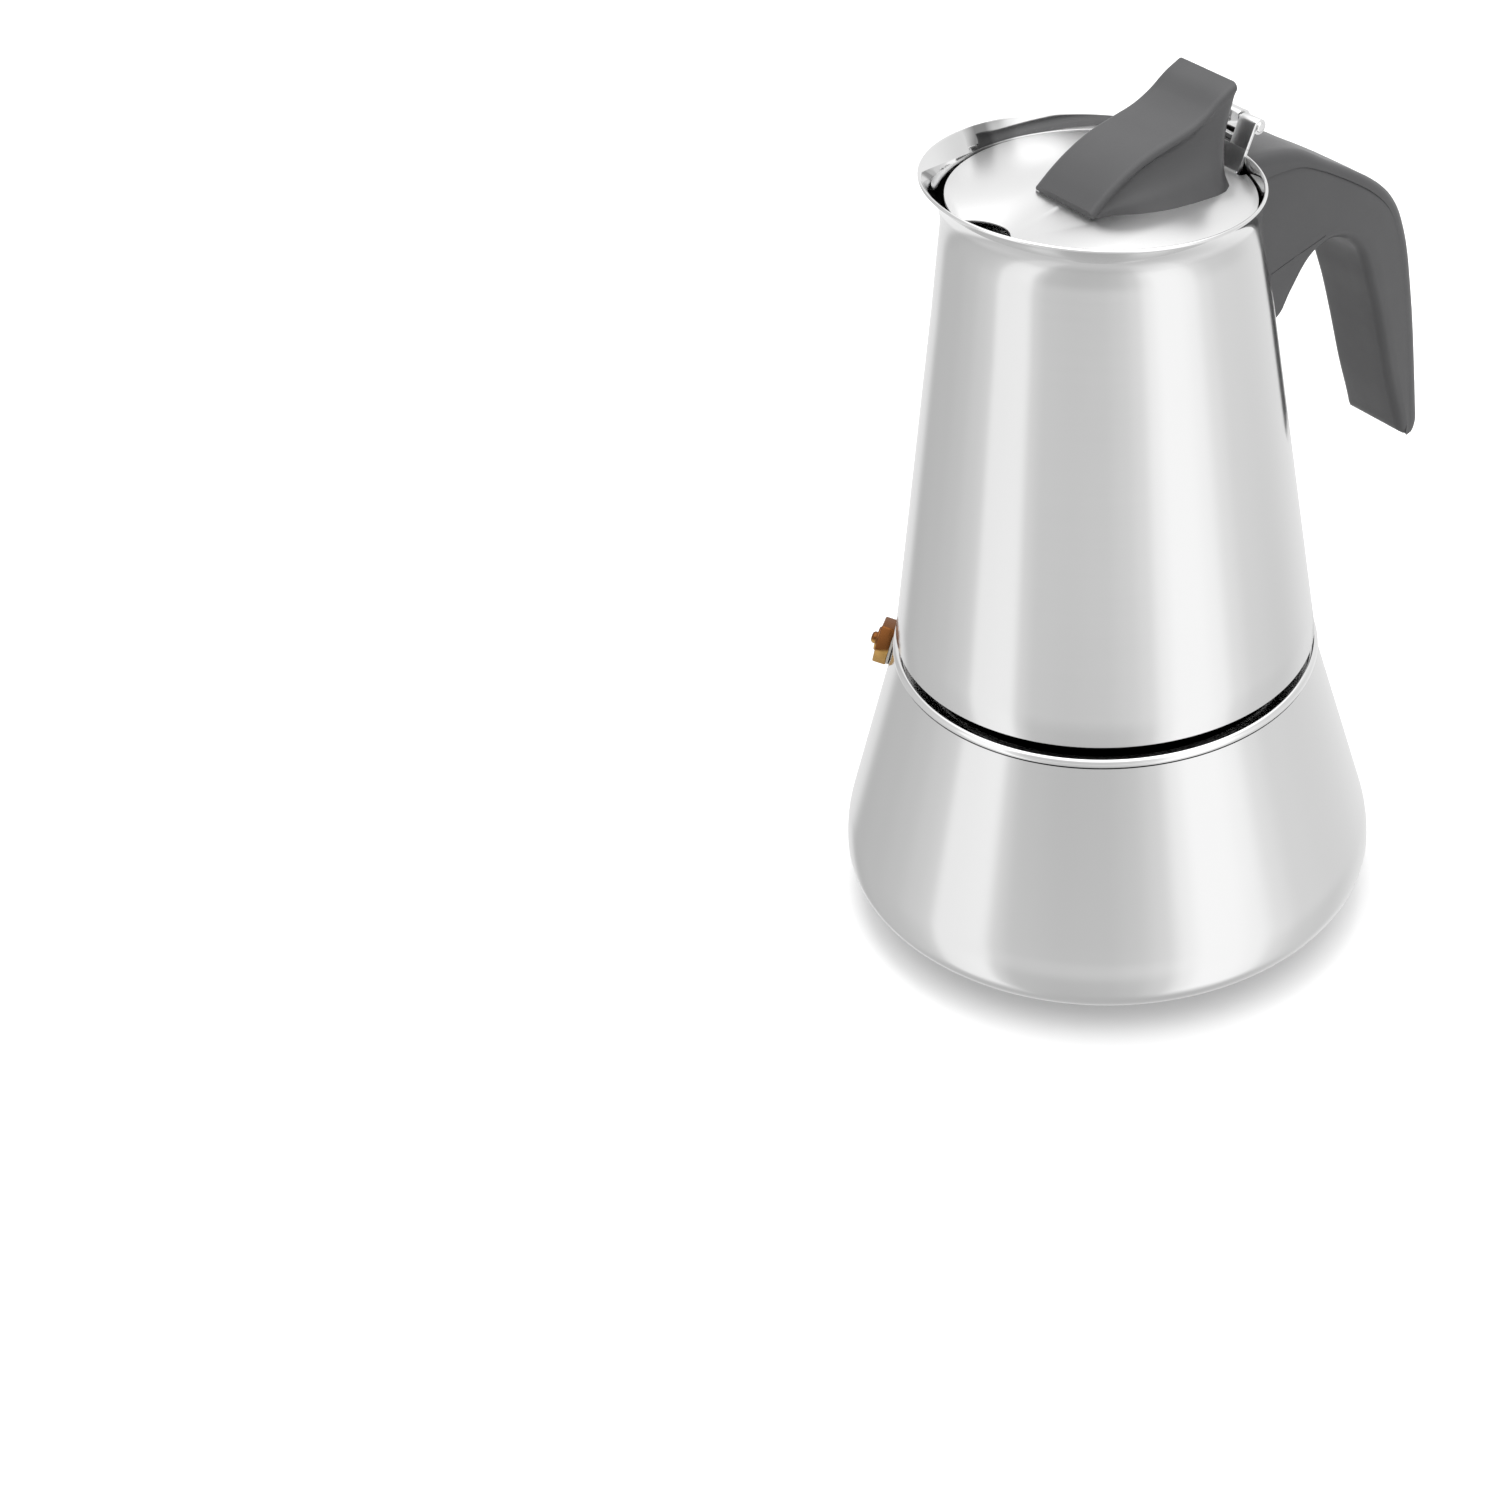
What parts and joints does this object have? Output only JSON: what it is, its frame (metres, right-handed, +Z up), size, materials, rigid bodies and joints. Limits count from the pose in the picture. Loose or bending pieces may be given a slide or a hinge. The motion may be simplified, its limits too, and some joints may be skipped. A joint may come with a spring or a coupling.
{
  "type": "stovetop coffee pot",
  "caption": "Steel stovetop coffee pot: flared boiler with brass safety valve, funnel, screw-on conical collector with riser column, open plastic handle and hinged lid with wedge knob",
  "frame": {"origin": "On the pot's axis, at the flat base face that stands on the stove", "axes": "+Z up along the pot's axis, +X from the axis towards the handle (the spout is at -X), +Y completes a right-handed frame and is the hinge pin's direction"},
  "size_m": [0.1347, 0.11, 0.1768],
  "materials": {
    "boiler_shell": "satin",
    "neck_ring": "polished",
    "valve_body": "satin",
    "valve_washer": "matte",
    "valve_nut": "satin",
    "valve_plunger": "satin",
    "valve_spring": "polished",
    "funnel_basket": "satin",
    "funnel_stem": "satin",
    "funnel_screen": "satin",
    "gasket": "matte",
    "filter_plate": "satin",
    "collector_shell": "satin",
    "thread_ring": "satin",
    "collector_floor": "satin",
    "riser_column": "satin",
    "column_cap": "satin",
    "handle": "matte",
    "handle_cover": "matte",
    "handle_bracket": "satin",
    "handle_screw": "satin",
    "hinge_bracket": "satin",
    "hinge_pin": "satin",
    "lid_plate": "polished",
    "lid_knob": "matte",
    "lid_screw": "polished"
  },
  "bodies": {
    "boiler": {"boiler_shell": "boiler_shell", "neck_ring": "neck_ring", "valve_body": "valve_body", "valve_washer": "valve_washer", "valve_nut": "valve_nut", "valve_spring": "valve_spring", "funnel_basket": "funnel_basket", "funnel_stem": "funnel_stem", "funnel_screen": "funnel_screen"},
    "valve": {"valve_plunger": "valve_plunger"},
    "seal": {"gasket": "gasket", "filter_plate": "filter_plate"},
    "collector": {"collector_shell": "collector_shell", "thread_ring": "thread_ring", "collector_floor": "collector_floor", "riser_column": "riser_column", "column_cap": "column_cap", "handle": "handle", "handle_cover": "handle_cover", "handle_bracket": "handle_bracket", "handle_screw": "handle_screw", "hinge_bracket": "hinge_bracket", "hinge_pin": "hinge_pin"},
    "lid": {"lid_plate": "lid_plate", "lid_knob": "lid_knob", "lid_screw": "lid_screw"}
  },
  "joints": [
    {"name": "rise", "type": "slide", "parent": "boiler", "child": "seal", "axis": [0, 0, 1], "range_m": [0, 0.008]},
    {"name": "unscrew", "type": "hinge", "parent": "seal", "child": "collector", "pos_m": [0, 0, 0.07], "axis": [0, 0, 1], "range_deg": [0, 720]},
    {"name": "lid_hinge", "type": "hinge", "parent": "collector", "child": "lid", "pos_m": [0.032, 0, 0.1658], "axis": [0, 1, 0], "range_deg": [0, 145]},
    {"name": "valve_lift", "type": "slide", "parent": "boiler", "child": "valve", "axis": [-0.6192, 0.7379, 0.2686], "range_m": [0, 0.001], "stiffness_N_per_m": 1500, "springref_m": -0.0004, "deforming": ["valve_spring"]}
  ],
  "couplings": [
    {"joint": "rise", "follows": "unscrew", "m_per_rad": 0.00063662}
  ]
}
